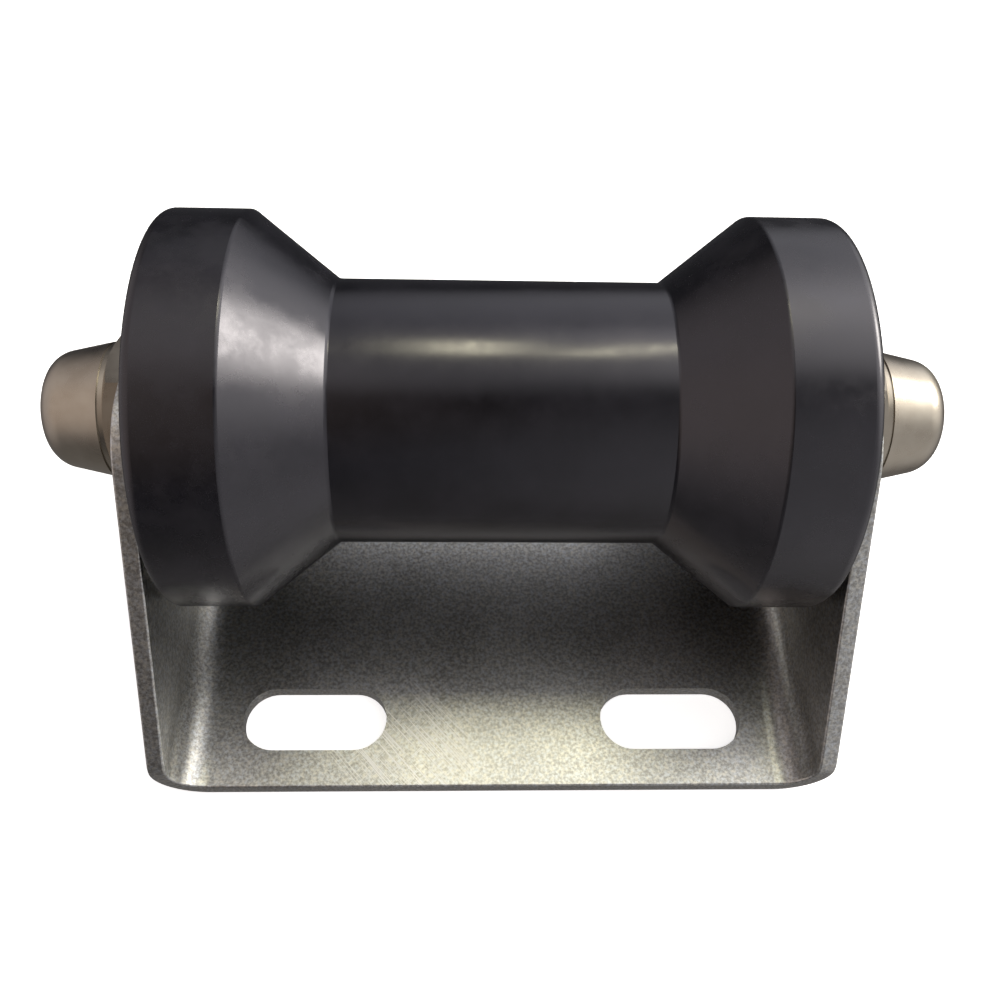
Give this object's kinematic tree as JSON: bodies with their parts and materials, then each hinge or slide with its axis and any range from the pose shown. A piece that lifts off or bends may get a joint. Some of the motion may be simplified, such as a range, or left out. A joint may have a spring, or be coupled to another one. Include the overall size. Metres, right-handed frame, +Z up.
{
  "type": "bow roller",
  "caption": "Bow roller: a black spool roller turning on an axle between the two ears of a folded stainless bracket with slotted mounting holes.",
  "frame": {"origin": "centre of the underside of the base plate, halfway between the two ears and halfway between the front and back edges", "axes": "+X along the axle towards the right-hand nut, +Z up from the mounting surface towards the roller, -Y towards the front edge seen in the picture"},
  "size_m": [0.1792, 0.12, 0.0935],
  "materials": {
    "stainless_sheet": "rolled satin, slightly grainy, with light handling scratches",
    "black_rubber": "moulded, semi-gloss black with fine streaks",
    "stainless_bar": "turned bar",
    "stainless_tube": "drawn tube, smooth running surface",
    "bush_plastic": "natural off-white bearing plastic",
    "stainless_washer": "stamped, tumbled",
    "polished_stainless": "bright polished dome, machined hexagon"
  },
  "bodies": {
    "bracket_body": {"bracket": "stainless_sheet", "axle": "stainless_bar", "spacer_sleeve": "stainless_tube", "thrust_washer_left": "stainless_washer", "thrust_washer_right": "stainless_washer", "domed_nut_left": "polished_stainless", "domed_nut_right": "polished_stainless"},
    "roller_body": {"roller": "black_rubber", "bush_left": "bush_plastic", "bush_right": "bush_plastic"}
  },
  "joints": [
    {"name": "roller_spin", "type": "hinge", "parent": "bracket_body", "child": "roller_body", "pos_m": [0, 0, 0.0545], "axis": [1, 0, 0], "continuous": true}
  ]
}
